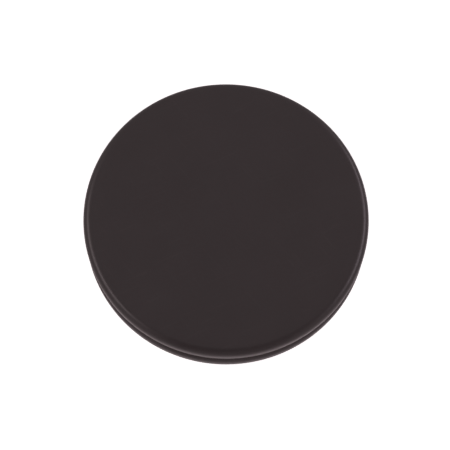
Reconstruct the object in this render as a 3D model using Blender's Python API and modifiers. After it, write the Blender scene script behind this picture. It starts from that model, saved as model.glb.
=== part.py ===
"""A flat hockey puck: one moulded disc of hard rubber with two rounded rims and a groove between them.

Metres, +Z up along the puck's axis. The origin is the centre of the bottom face, which the puck rests on.
"""

import math

import bpy

PUCK_DIAMETER = 0.0762
PUCK_THICKNESS = 0.0127

FACE_CORNER_RADIUS = 0.0021  # where each flat face turns down into its rim
RIM_HEIGHT = 0.0050  # from a flat face to the groove's nearer side
GROOVE_CORNER_RADIUS = 0.0016  # where each rim turns into the groove
GROOVE_DEPTH = 0.0023  # from the rims' widest point to the groove's floor
GROOVE_FLOOR_RADIUS = 0.0004  # softens the groove's inner corners

TURN_STEPS = 96
CORNER_SEGMENTS = 5
FLOOR_SEGMENTS = 2
FACE_EDGE_LOOP = 0.0006  # a loop this far inside each flat face's edge keeps the face's shading flat

RUBBER_COLOUR = (0.022, 0.018, 0.019, 1.0)
RUBBER_ROUGHNESS = 0.5


def clear_scene():
    for existing in list(bpy.data.objects):
        bpy.data.objects.remove(existing, do_unlink=True)


def arc(centre_x, centre_z, radius, start_degrees, end_degrees, segments):
    """Points along an arc in the XZ plane, both ends included."""
    points = []
    for step in range(segments + 1):
        angle = math.radians(start_degrees + (end_degrees - start_degrees) * step / segments)
        points.append((centre_x + radius * math.cos(angle), centre_z + radius * math.sin(angle)))
    return points


def upper_profile():
    """The outline of the upper half, from the middle of the top face down to the groove's floor."""
    outer = PUCK_DIAMETER / 2
    groove_top = PUCK_THICKNESS - RIM_HEIGHT
    groove_floor = outer - GROOVE_DEPTH
    points = [(0.0, PUCK_THICKNESS), (outer - FACE_CORNER_RADIUS - FACE_EDGE_LOOP, PUCK_THICKNESS)]
    points += arc(
        outer - FACE_CORNER_RADIUS,
        PUCK_THICKNESS - FACE_CORNER_RADIUS,
        FACE_CORNER_RADIUS,
        90,
        0,
        CORNER_SEGMENTS,
    )
    points += arc(
        outer - GROOVE_CORNER_RADIUS,
        groove_top + GROOVE_CORNER_RADIUS,
        GROOVE_CORNER_RADIUS,
        0,
        -90,
        CORNER_SEGMENTS,
    )
    points += arc(
        groove_floor + GROOVE_FLOOR_RADIUS,
        groove_top - GROOVE_FLOOR_RADIUS,
        GROOVE_FLOOR_RADIUS,
        90,
        180,
        FLOOR_SEGMENTS,
    )
    return points


def puck_profile():
    """The whole outline, top to bottom. Both halves are alike, so the puck can be turned over."""
    upper = upper_profile()
    lower = [(x, PUCK_THICKNESS - z) for x, z in reversed(upper)]
    return upper + lower


def rubber_material():
    material = bpy.data.materials.new("rubber")
    material.use_nodes = True
    shader = material.node_tree.nodes["Principled BSDF"]
    shader.inputs["Base Color"].default_value = RUBBER_COLOUR
    shader.inputs["Roughness"].default_value = RUBBER_ROUGHNESS
    shader.inputs["Metallic"].default_value = 0.0
    return material


def make_puck_body(collection):
    """The disc, turned round the Z axis from its outline."""
    profile = puck_profile()
    vertices = [(x, 0.0, z) for x, z in profile]
    edges = [(index, index + 1) for index in range(len(profile) - 1)]
    mesh = bpy.data.meshes.new("puck_body")
    mesh.from_pydata(vertices, edges, [])
    mesh.materials.append(rubber_material())

    body = bpy.data.objects.new("puck_body", mesh)
    collection.objects.link(body)

    turn = body.modifiers.new("turn", "SCREW")
    turn.axis = "Z"
    turn.angle = math.tau
    turn.steps = TURN_STEPS
    turn.render_steps = TURN_STEPS
    turn.use_merge_vertices = True
    turn.merge_threshold = 0.00001
    turn.use_smooth_shade = True
    return body


def main():
    clear_scene()
    puck = bpy.data.collections.new("hockey_puck")
    bpy.context.scene.collection.children.link(puck)
    make_puck_body(puck)


main()
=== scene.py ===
"""The looks of a flat hockey puck: one finely turned body of moulded rubber on a pale floor in soft light.

Everything is in metres, in the CAD model's frame: +Z up, origin at the centre of the bottom face.
"""

import math

import bmesh
import bpy
from mathutils import Matrix, Vector


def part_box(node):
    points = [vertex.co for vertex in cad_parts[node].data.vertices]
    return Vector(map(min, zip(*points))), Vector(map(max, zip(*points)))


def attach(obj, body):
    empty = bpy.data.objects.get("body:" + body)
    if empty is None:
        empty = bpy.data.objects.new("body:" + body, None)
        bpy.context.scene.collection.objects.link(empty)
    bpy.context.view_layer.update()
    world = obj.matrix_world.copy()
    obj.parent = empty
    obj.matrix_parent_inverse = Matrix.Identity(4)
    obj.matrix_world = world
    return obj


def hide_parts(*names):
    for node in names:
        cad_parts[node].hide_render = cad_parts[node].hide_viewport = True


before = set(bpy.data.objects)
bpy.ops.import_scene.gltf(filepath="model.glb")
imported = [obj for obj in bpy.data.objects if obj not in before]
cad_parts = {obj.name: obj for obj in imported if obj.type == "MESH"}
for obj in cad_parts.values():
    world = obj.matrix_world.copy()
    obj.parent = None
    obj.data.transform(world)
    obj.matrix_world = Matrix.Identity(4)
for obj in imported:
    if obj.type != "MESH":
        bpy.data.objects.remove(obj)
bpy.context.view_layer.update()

# ---------------------------------------------------------------- sizes

body_low, body_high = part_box("puck_body")
OUTER_RADIUS = (body_high.x - body_low.x) / 2
THICKNESS = body_high.z - body_low.z
TOP_CENTRE = Vector((0.0, 0.0, body_high.z))

FACE_CORNER_RADIUS = 0.0021
RIM_HEIGHT = 0.0050
GROOVE_CORNER_RADIUS = 0.0016
GROOVE_DEPTH = 0.0023
GROOVE_FLOOR_RADIUS = 0.0004

PARTING_LINE_HALF_HEIGHT = 0.00018
PARTING_LINE_CREST_HALF_HEIGHT = 0.000081
PARTING_LINE_PROUD = 0.00012

TURN_STEPS = 384
FACE_RINGS = 12
FACE_CORNER_SEGMENTS = 16
GROOVE_CORNER_SEGMENTS = 12
GROOVE_FLOOR_SEGMENTS = 4

# ---------------------------------------------------------------- looks

RUBBER_DARK = (0.0232, 0.0203, 0.0205, 1.0)
RUBBER_LIGHT = (0.0262, 0.0231, 0.0234, 1.0)
RUBBER_BLOOM = (0.0480, 0.0430, 0.0430, 1.0)
RUBBER_ROUGHNESS = 0.39
RUBBER_SPECULAR = 0.5

# Noise scales are in features per metre, roughly, and heights are in metres
CLOUD_SCALE = 70.0
CLOUD_ROUGHNESS = 0.02
FILLER_SCALE = 1500.0
PEBBLE_SCALE = 900.0
PEBBLE_HEIGHT = 0.00001
GRAIN_SCALE = 3800.0
GRAIN_HEIGHT = 0.000006
GRAIN_STRENGTH = 0.8
GRAIN_ROUGHNESS = 0.03

RIM_POLISH = 0.07
GROOVE_DULLNESS = 0.10
GROOVE_BLOOM = 0.5

# The angle of each set of scuffs in degrees about Z, and its noise scale across the lines
SCUFFS = [(25.0, 1900.0), (-50.0, 1500.0)]
SCUFF_STRETCH = 20.0
SCUFF_EDGE = 0.66
SCUFF_CORE = 0.72
SCUFF_DULLNESS = 0.05
SCUFF_BLOOM = 0.12

WHITE = (1.0, 1.0, 1.0, 1.0)
FLOOR_SIZE = 8.0
FLOOR_GAP = 0.00005
# What reflections and bounced light meet: pale card under the puck, darker towards the surround
FLOOR_COLOUR = (0.9, 0.9, 0.9, 1.0)
FLOOR_COLOUR_RADIUS = 0.05
SURROUND_COLOUR = (0.4, 0.4, 0.4, 1.0)
SURROUND_COLOUR_RADIUS = 0.10
# What the camera meets
FLOOR_SHOWN_COLOUR = (0.62, 0.62, 0.62, 1.0)
FLOOR_SHOWN_GLOW = 0.82

# Each pair is where a part of the world fades in or out, along one axis of a sphere of radius 1
CEILING_GLOW = 0.47
BEHIND_FADE = (0.0, 0.2)
BESIDE_FADE = (0.4, 0.65)
FRONT_GLOW = 0.01
HORIZON_GLOW = 0.15
HORIZON_FADE = (0.02, 0.2)
BACKDROP_GLOW = 1.1

WARM_LIGHT = (1.0, 0.84, 0.86)
VIOLET_LIGHT = (1.0, 0.84, 0.94)
SOFTBOX_DISTANCE = 1.5
# name, azimuth and elevation in degrees (0 is +X, 90 is +Y), width, height, roll in degrees, watts, colour
SOFTBOXES = [
    ("left", 179.0, 44.0, 1.3, 0.5, 16.0, 5.4, WARM_LIGHT),
    ("right", 18.0, 34.0, 1.4, 0.5, -10.0, 6.2, VIOLET_LIGHT),
]
# The same, for a fill that no surface mirrors
FILL = ("fill", 270.0, 25.0, 1.2, 0.6, 0.0, 14.0, WARM_LIGHT)

CAMERA_ELEVATION = 73.03
CAMERA_DISTANCE = 0.420
CAMERA_LENS = 126.42
CAMERA_ROLL = 0.56
CAMERA_AIM_RIGHT = -0.00027
CAMERA_AIM_UP = -0.0026


# ---------------------------------------------------------------- the body

def arc(centre_x, centre_z, radius, start_degrees, end_degrees, segments):
    """Points along an arc in the XZ plane, both ends included."""
    points = []
    for step in range(segments + 1):
        angle = math.radians(start_degrees + (end_degrees - start_degrees) * step / segments)
        points.append((centre_x + radius * math.cos(angle), centre_z + radius * math.sin(angle)))
    return points


def upper_profile():
    """The outline of the upper half, from the middle of the top face to the parting line in the groove."""
    face_radius = OUTER_RADIUS - FACE_CORNER_RADIUS
    groove_top = body_high.z - RIM_HEIGHT
    groove_floor = OUTER_RADIUS - GROOVE_DEPTH
    middle = body_low.z + THICKNESS / 2

    points = [(face_radius * ring / FACE_RINGS, body_high.z) for ring in range(FACE_RINGS)]
    points += arc(
        face_radius,
        body_high.z - FACE_CORNER_RADIUS,
        FACE_CORNER_RADIUS,
        90,
        0,
        FACE_CORNER_SEGMENTS,
    )
    points += arc(
        OUTER_RADIUS - GROOVE_CORNER_RADIUS,
        groove_top + GROOVE_CORNER_RADIUS,
        GROOVE_CORNER_RADIUS,
        0,
        -90,
        GROOVE_CORNER_SEGMENTS,
    )
    points += arc(
        groove_floor + GROOVE_FLOOR_RADIUS,
        groove_top - GROOVE_FLOOR_RADIUS,
        GROOVE_FLOOR_RADIUS,
        90,
        180,
        GROOVE_FLOOR_SEGMENTS,
    )
    points.append((groove_floor, middle + PARTING_LINE_HALF_HEIGHT))
    points.append((groove_floor + PARTING_LINE_PROUD, middle + PARTING_LINE_CREST_HALF_HEIGHT))
    return points


def whole_profile():
    """Top to bottom. The lower half mirrors the upper one, because a puck is played either way up."""
    upper = upper_profile()
    lower = [(x, body_low.z + body_high.z - z) for x, z in reversed(upper)]
    return upper + lower


def turned_mesh(name, profile, steps):
    """The profile turned once round the Z axis, closed on the axis at both ends."""
    form = bmesh.new()
    outline = [form.verts.new((x, 0.0, z)) for x, z in profile]
    edges = [form.edges.new(pair) for pair in zip(outline, outline[1:])]
    bmesh.ops.spin(
        form,
        geom=outline + edges,
        cent=(0.0, 0.0, 0.0),
        axis=(0.0, 0.0, 1.0),
        angle=math.tau,
        steps=steps,
        use_merge=True,
    )
    bmesh.ops.remove_doubles(form, verts=form.verts, dist=1e-7)
    bmesh.ops.recalc_face_normals(form, faces=form.faces)
    mesh = bpy.data.meshes.new(name)
    form.to_mesh(mesh)
    form.free()
    mesh.shade_smooth()
    return mesh


def make_body():
    body = bpy.data.objects.new("puck_rubber", turned_mesh("puck_rubber", whole_profile(), TURN_STEPS))
    bpy.context.scene.collection.objects.link(body)
    body.data.materials.append(rubber_material())
    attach(body, "root")
    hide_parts("puck_body")
    return body


# ---------------------------------------------------------------- materials

class NodeTree:
    """Short calls for building a material's or world's nodes."""

    def __init__(self, tree):
        self.tree = tree

    def add(self, kind, **settings):
        node = self.tree.nodes.new(kind)
        for name, value in settings.items():
            setattr(node, name, value)
        return node

    def link(self, source, target):
        self.tree.links.new(source, target)

    def noise(self, coordinates, scale, detail=2.0, roughness=0.5):
        node = self.add("ShaderNodeTexNoise")
        node.inputs["Scale"].default_value = scale
        node.inputs["Detail"].default_value = detail
        node.inputs["Roughness"].default_value = roughness
        self.link(coordinates, node.inputs["Vector"])
        return node.outputs["Fac"]

    def spread(self, value, low, high, new_low, new_high):
        """value, mapped from low..high onto new_low..new_high and held within it."""
        node = self.add("ShaderNodeMapRange", clamp=True)
        node.inputs["From Min"].default_value = low
        node.inputs["From Max"].default_value = high
        node.inputs["To Min"].default_value = new_low
        node.inputs["To Max"].default_value = new_high
        self.link(value, node.inputs["Value"])
        return node.outputs["Result"]

    def stretched(self, coordinates, scales, degrees):
        """coordinates turned about Z and then scaled along each axis."""
        node = self.add("ShaderNodeMapping", vector_type="TEXTURE")
        node.inputs["Rotation"].default_value = (0.0, 0.0, math.radians(degrees))
        node.inputs["Scale"].default_value = [1.0 / scale for scale in scales]
        self.link(coordinates, node.inputs["Vector"])
        return node.outputs["Vector"]

    def axes(self, coordinates):
        """The X, Y and Z sockets of coordinates."""
        node = self.add("ShaderNodeSeparateXYZ")
        self.link(coordinates, node.inputs[0])
        return node.outputs

    def length(self, x, y):
        """Distance from the Z axis."""
        squares = self.maths("ADD", self.maths("MULTIPLY", x, x), self.maths("MULTIPLY", y, y))
        return self.maths("SQRT", squares)

    def maths(self, operation, first, second=None):
        node = self.add("ShaderNodeMath", operation=operation)
        for socket, value in zip(node.inputs, (first, second)):
            if value is None:
                continue
            if isinstance(value, (int, float)):
                socket.default_value = value
            else:
                self.link(value, socket)
        return node.outputs["Value"]

    def mix(self, factor, first, second):
        """A colour between first and second, which are colours or sockets."""
        node = self.add("ShaderNodeMix", data_type="RGBA")
        self.link(factor, node.inputs["Factor"])
        # Sockets 6 and 7 are the colours A and B, and output 2 is the colour
        for socket, value in ((node.inputs[6], first), (node.inputs[7], second)):
            if isinstance(value, tuple):
                socket.default_value = value
            else:
                self.link(value, socket)
        return node.outputs[2]

    def bump(self, height, distance, strength, normal=None):
        node = self.add("ShaderNodeBump")
        node.inputs["Distance"].default_value = distance
        node.inputs["Strength"].default_value = strength
        self.link(height, node.inputs["Height"])
        if normal is not None:
            self.link(normal, node.inputs["Normal"])
        return node.outputs["Normal"]

    def shown_to_camera(self, shown, lit):
        """The shader shown to the camera's own rays, and the shader lit to reflections and bounced light."""
        node = self.add("ShaderNodeMixShader")
        self.link(self.add("ShaderNodeLightPath").outputs["Is Camera Ray"], node.inputs["Fac"])
        self.link(lit, node.inputs[1])
        self.link(shown, node.inputs[2])
        return node.outputs["Shader"]


def new_material(name):
    """A material, its node calls and its Principled shader."""
    material = bpy.data.materials.new(name)
    material.use_nodes = True
    return material, NodeTree(material.node_tree), material.node_tree.nodes["Principled BSDF"]


def scuffs(nodes, place, degrees, scale):
    """Sparse hairlines at one angle, a few millimetres long."""
    slow = scale / SCUFF_STRETCH
    streaks = nodes.noise(nodes.stretched(place, (slow, scale, slow), degrees), scale=1.0, detail=1.0)
    return nodes.spread(streaks, SCUFF_EDGE, SCUFF_CORE, 0.0, 1.0)


def rubber_zones(nodes, place):
    """Masks, 0 to 1: down in the groove, on the rims where hands rub, and on the flat faces."""
    x, y, z = nodes.axes(place)
    height = nodes.maths("ABSOLUTE", nodes.maths("SUBTRACT", z, (body_low.z + body_high.z) / 2))
    half = THICKNESS / 2
    groove_edge = half - RIM_HEIGHT
    shoulder_start = OUTER_RADIUS - FACE_CORNER_RADIUS
    shoulder_end = OUTER_RADIUS - FACE_CORNER_RADIUS * 0.3
    groove = nodes.spread(height, groove_edge, groove_edge + GROOVE_CORNER_RADIUS * 0.5, 1.0, 0.0)
    rim = nodes.spread(nodes.length(x, y), shoulder_start, shoulder_end, 0.0, 1.0)
    face = nodes.spread(height, half - FACE_CORNER_RADIUS * 0.1, half, 0.0, 1.0)
    return groove, rim, face


def rubber_material():
    """Hard black rubber as it leaves a polished mould: satin, finely grained, duller in the groove.

    The rims are a little polished by handling, and the flat faces carry faint hairline scuffs.
    """
    material, nodes, shader = new_material("moulded_rubber")
    place = nodes.add("ShaderNodeTexCoord").outputs["Object"]
    groove, rim, face = rubber_zones(nodes, place)
    cloud = nodes.noise(place, CLOUD_SCALE, detail=4.0, roughness=0.55)
    filler = nodes.noise(place, FILLER_SCALE)
    pebble = nodes.noise(place, PEBBLE_SCALE)
    grain = nodes.noise(place, GRAIN_SCALE, detail=3.0, roughness=0.6)
    first_scuffs, second_scuffs = [scuffs(nodes, place, degrees, scale) for degrees, scale in SCUFFS]
    scuff = nodes.maths("MULTIPLY", nodes.maths("MAXIMUM", first_scuffs, second_scuffs), face)

    tone = nodes.maths("ADD", nodes.maths("MULTIPLY", cloud, 0.5), nodes.maths("MULTIPLY", filler, 0.5))
    colour = nodes.mix(nodes.spread(tone, 0.35, 0.65, 0.0, 1.0), RUBBER_DARK, RUBBER_LIGHT)
    uneven_bloom = nodes.spread(cloud, 0.35, 0.65, GROOVE_BLOOM / 2, GROOVE_BLOOM)
    bloom = nodes.maths("MULTIPLY", groove, uneven_bloom)
    bloom = nodes.maths("ADD", bloom, nodes.maths("MULTIPLY", scuff, SCUFF_BLOOM))
    nodes.link(nodes.mix(bloom, colour, RUBBER_BLOOM), shader.inputs["Base Color"])

    cloud_change = nodes.spread(cloud, 0.3, 0.7, -CLOUD_ROUGHNESS, CLOUD_ROUGHNESS)
    grain_change = nodes.spread(grain, 0.3, 0.7, -GRAIN_ROUGHNESS, GRAIN_ROUGHNESS)
    roughness = nodes.maths("ADD", nodes.maths("ADD", cloud_change, RUBBER_ROUGHNESS), grain_change)
    roughness = nodes.maths("SUBTRACT", roughness, nodes.maths("MULTIPLY", rim, RIM_POLISH))
    roughness = nodes.maths("ADD", roughness, nodes.maths("MULTIPLY", groove, GROOVE_DULLNESS))
    roughness = nodes.maths("ADD", roughness, nodes.maths("MULTIPLY", scuff, SCUFF_DULLNESS))
    nodes.link(roughness, shader.inputs["Roughness"])

    normal = nodes.bump(pebble, distance=PEBBLE_HEIGHT, strength=1.0)
    normal = nodes.bump(grain, distance=GRAIN_HEIGHT, strength=GRAIN_STRENGTH, normal=normal)
    nodes.link(normal, shader.inputs["Normal"])

    shader.inputs["Specular IOR Level"].default_value = RUBBER_SPECULAR
    return material


def floor_material():
    """Pale card, over-exposed to white for the camera and shown to reflections as it is lit."""
    material, nodes, shown = new_material("pale_floor")
    shown.inputs["Base Color"].default_value = FLOOR_SHOWN_COLOUR
    shown.inputs["Roughness"].default_value = 1.0
    shown.inputs["Specular IOR Level"].default_value = 0.0
    shown.inputs["Emission Color"].default_value = WHITE
    shown.inputs["Emission Strength"].default_value = FLOOR_SHOWN_GLOW

    lit = nodes.add("ShaderNodeBsdfDiffuse")
    x, y, z = nodes.axes(nodes.add("ShaderNodeTexCoord").outputs["Object"])
    surround = nodes.spread(nodes.length(x, y), FLOOR_COLOUR_RADIUS, SURROUND_COLOUR_RADIUS, 0.0, 1.0)
    nodes.link(nodes.mix(surround, FLOOR_COLOUR, SURROUND_COLOUR), lit.inputs["Color"])

    surface = nodes.shown_to_camera(shown.outputs["BSDF"], lit.outputs["BSDF"])
    nodes.link(surface, material.node_tree.nodes["Material Output"].inputs["Surface"])
    return material


# ---------------------------------------------------------------- stage

def make_floor():
    bpy.ops.mesh.primitive_plane_add(size=FLOOR_SIZE, location=(0.0, 0.0, body_low.z - FLOOR_GAP))
    floor = bpy.context.object
    floor.name = "floor"
    floor.data.materials.append(floor_material())


def make_world():
    """A dim studio whose ceiling is lit except in front, and a white backdrop for the camera."""
    world = bpy.data.worlds.new("studio")
    world.use_nodes = True
    bpy.context.scene.world = world
    nodes = NodeTree(world.node_tree)

    studio = world.node_tree.nodes["Background"]
    studio.inputs["Color"].default_value = (*WARM_LIGHT, 1.0)
    x, y, z = nodes.axes(nodes.add("ShaderNodeTexCoord").outputs["Generated"])
    behind = nodes.spread(y, *BEHIND_FADE, 0.0, 1.0)
    beside = nodes.spread(nodes.maths("ABSOLUTE", x), *BESIDE_FADE, 0.0, 1.0)
    ceiling = nodes.spread(nodes.maths("MAXIMUM", behind, beside), 0.0, 1.0, FRONT_GLOW, CEILING_GLOW)
    horizon = nodes.spread(z, *HORIZON_FADE, HORIZON_GLOW, 0.0)
    nodes.link(nodes.maths("ADD", ceiling, horizon), studio.inputs["Strength"])

    backdrop = nodes.add("ShaderNodeBackground")
    backdrop.inputs["Color"].default_value = WHITE
    backdrop.inputs["Strength"].default_value = BACKDROP_GLOW

    surface = nodes.shown_to_camera(backdrop.outputs["Background"], studio.outputs["Background"])
    nodes.link(surface, world.node_tree.nodes["World Output"].inputs["Surface"])


def direction(azimuth_degrees, elevation_degrees):
    """The unit vector that points away from the puck at these angles."""
    azimuth = math.radians(azimuth_degrees)
    elevation = math.radians(elevation_degrees)
    flat = math.cos(elevation)
    return Vector((flat * math.cos(azimuth), flat * math.sin(azimuth), math.sin(elevation)))


def make_softbox(name, azimuth, elevation, width, height, roll, watts, colour):
    """A rectangular lamp that faces the puck."""
    data = bpy.data.lights.new("softbox_" + name, "AREA")
    data.shape = "RECTANGLE"
    data.size = width
    data.size_y = height
    data.energy = watts
    data.color = colour
    softbox = bpy.data.objects.new("softbox_" + name, data)
    bpy.context.scene.collection.objects.link(softbox)
    away = direction(azimuth, elevation)
    turn = away.to_track_quat("Z", "Y").to_matrix() @ Matrix.Rotation(math.radians(roll), 3, "Z")
    softbox.matrix_world = Matrix.Translation(away * SOFTBOX_DISTANCE) @ turn.to_4x4()
    return softbox


def make_camera():
    """Looks steeply down at the top face from the front."""
    away = direction(-90.0, CAMERA_ELEVATION)
    right = Vector((1.0, 0.0, 0.0))
    up = away.cross(right)
    data = bpy.data.cameras.new("camera")
    data.sensor_width = 36.0
    data.lens = CAMERA_LENS
    data.clip_start = 0.01
    data.clip_end = 20.0
    camera = bpy.data.objects.new("camera", data)
    bpy.context.scene.collection.objects.link(camera)
    place = TOP_CENTRE + away * CAMERA_DISTANCE + right * CAMERA_AIM_RIGHT + up * CAMERA_AIM_UP
    turn = Matrix((right, up, away)).transposed() @ Matrix.Rotation(math.radians(CAMERA_ROLL), 3, "Z")
    camera.matrix_world = Matrix.Translation(place) @ turn.to_4x4()
    bpy.context.scene.camera = camera


make_camera()
make_body()
make_floor()
make_world()
for softbox in SOFTBOXES:
    make_softbox(*softbox)
make_softbox(*FILL).visible_glossy = False
bpy.context.scene.view_settings.view_transform = "Standard"
